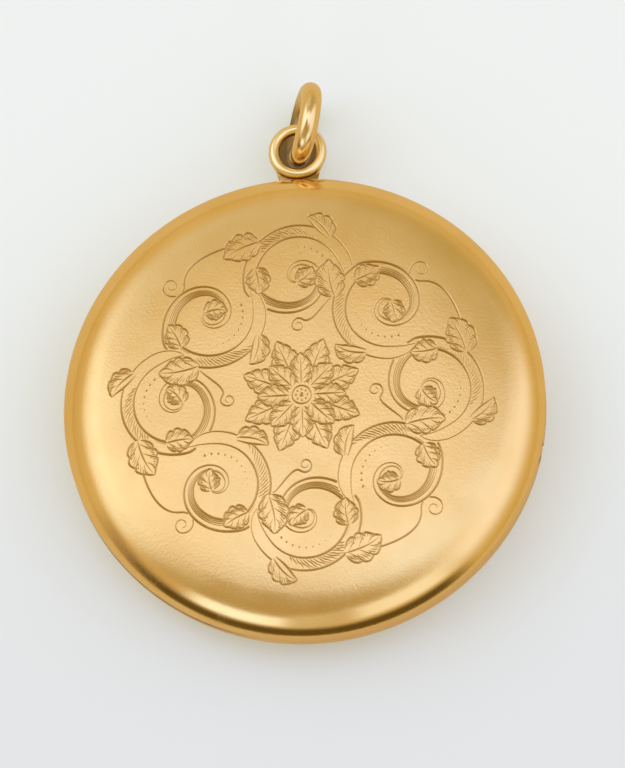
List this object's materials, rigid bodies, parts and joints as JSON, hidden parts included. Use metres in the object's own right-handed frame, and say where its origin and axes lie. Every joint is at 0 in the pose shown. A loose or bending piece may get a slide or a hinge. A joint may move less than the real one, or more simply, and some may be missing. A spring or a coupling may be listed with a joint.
{
  "type": "photo locket",
  "caption": "Round hinged photo locket in satin gold with a domed engraved lid, rolled edges, a flush side hinge, picture frames inside, and a fixed eye carrying a loose jump ring.",
  "frame": {"origin": "middle of the flat of the back cover, which the locket lies on", "axes": "+Z out of the engraved front face, +Y from the case to the eye and jump ring, +X to the hinge"},
  "size_m": [0.038, 0.0465, 0.0076],
  "materials": {
    "satin_gold": "satin, fine bloom",
    "polished_gold": "polished, softly worn",
    "pin_metal": "drawn wire",
    "clear_window": "clear, polished",
    "photo_paper": "matt",
    "backing_card": "matt"
  },
  "bodies": {
    "case_back": {"back_cover": "satin_gold", "back_rim": "polished_gold", "back_photo_frame": "polished_gold", "back_window": "clear_window", "back_photo": "photo_paper", "back_backing_card": "backing_card", "hinge_knuckle_1": "polished_gold", "hinge_knuckle_3": "polished_gold", "hinge_knuckle_5": "polished_gold", "hinge_pin": "pin_metal", "pendant_eye": "polished_gold"},
    "lid": {"front_cover": "satin_gold", "front_rim": "polished_gold", "front_photo_frame": "polished_gold", "front_window": "clear_window", "front_photo": "photo_paper", "front_backing_card": "backing_card", "hinge_knuckle_2": "polished_gold", "hinge_knuckle_4": "polished_gold"},
    "ring": {"jump_ring": "polished_gold"}
  },
  "joints": [
    {"name": "lid_hinge", "type": "hinge", "parent": "case_back", "child": "lid", "pos_m": [0.01815, 0, 0.0038], "axis": [0, 1, 0], "range_deg": [0, 110]},
    {"name": "jump_ring_tip", "type": "hinge", "parent": "case_back", "child": "ring", "pos_m": [0.00057, 0.02408, 0.00346], "axis": [0.1778, 0.9841, 0], "range_deg": [-40, 10]}
  ]
}
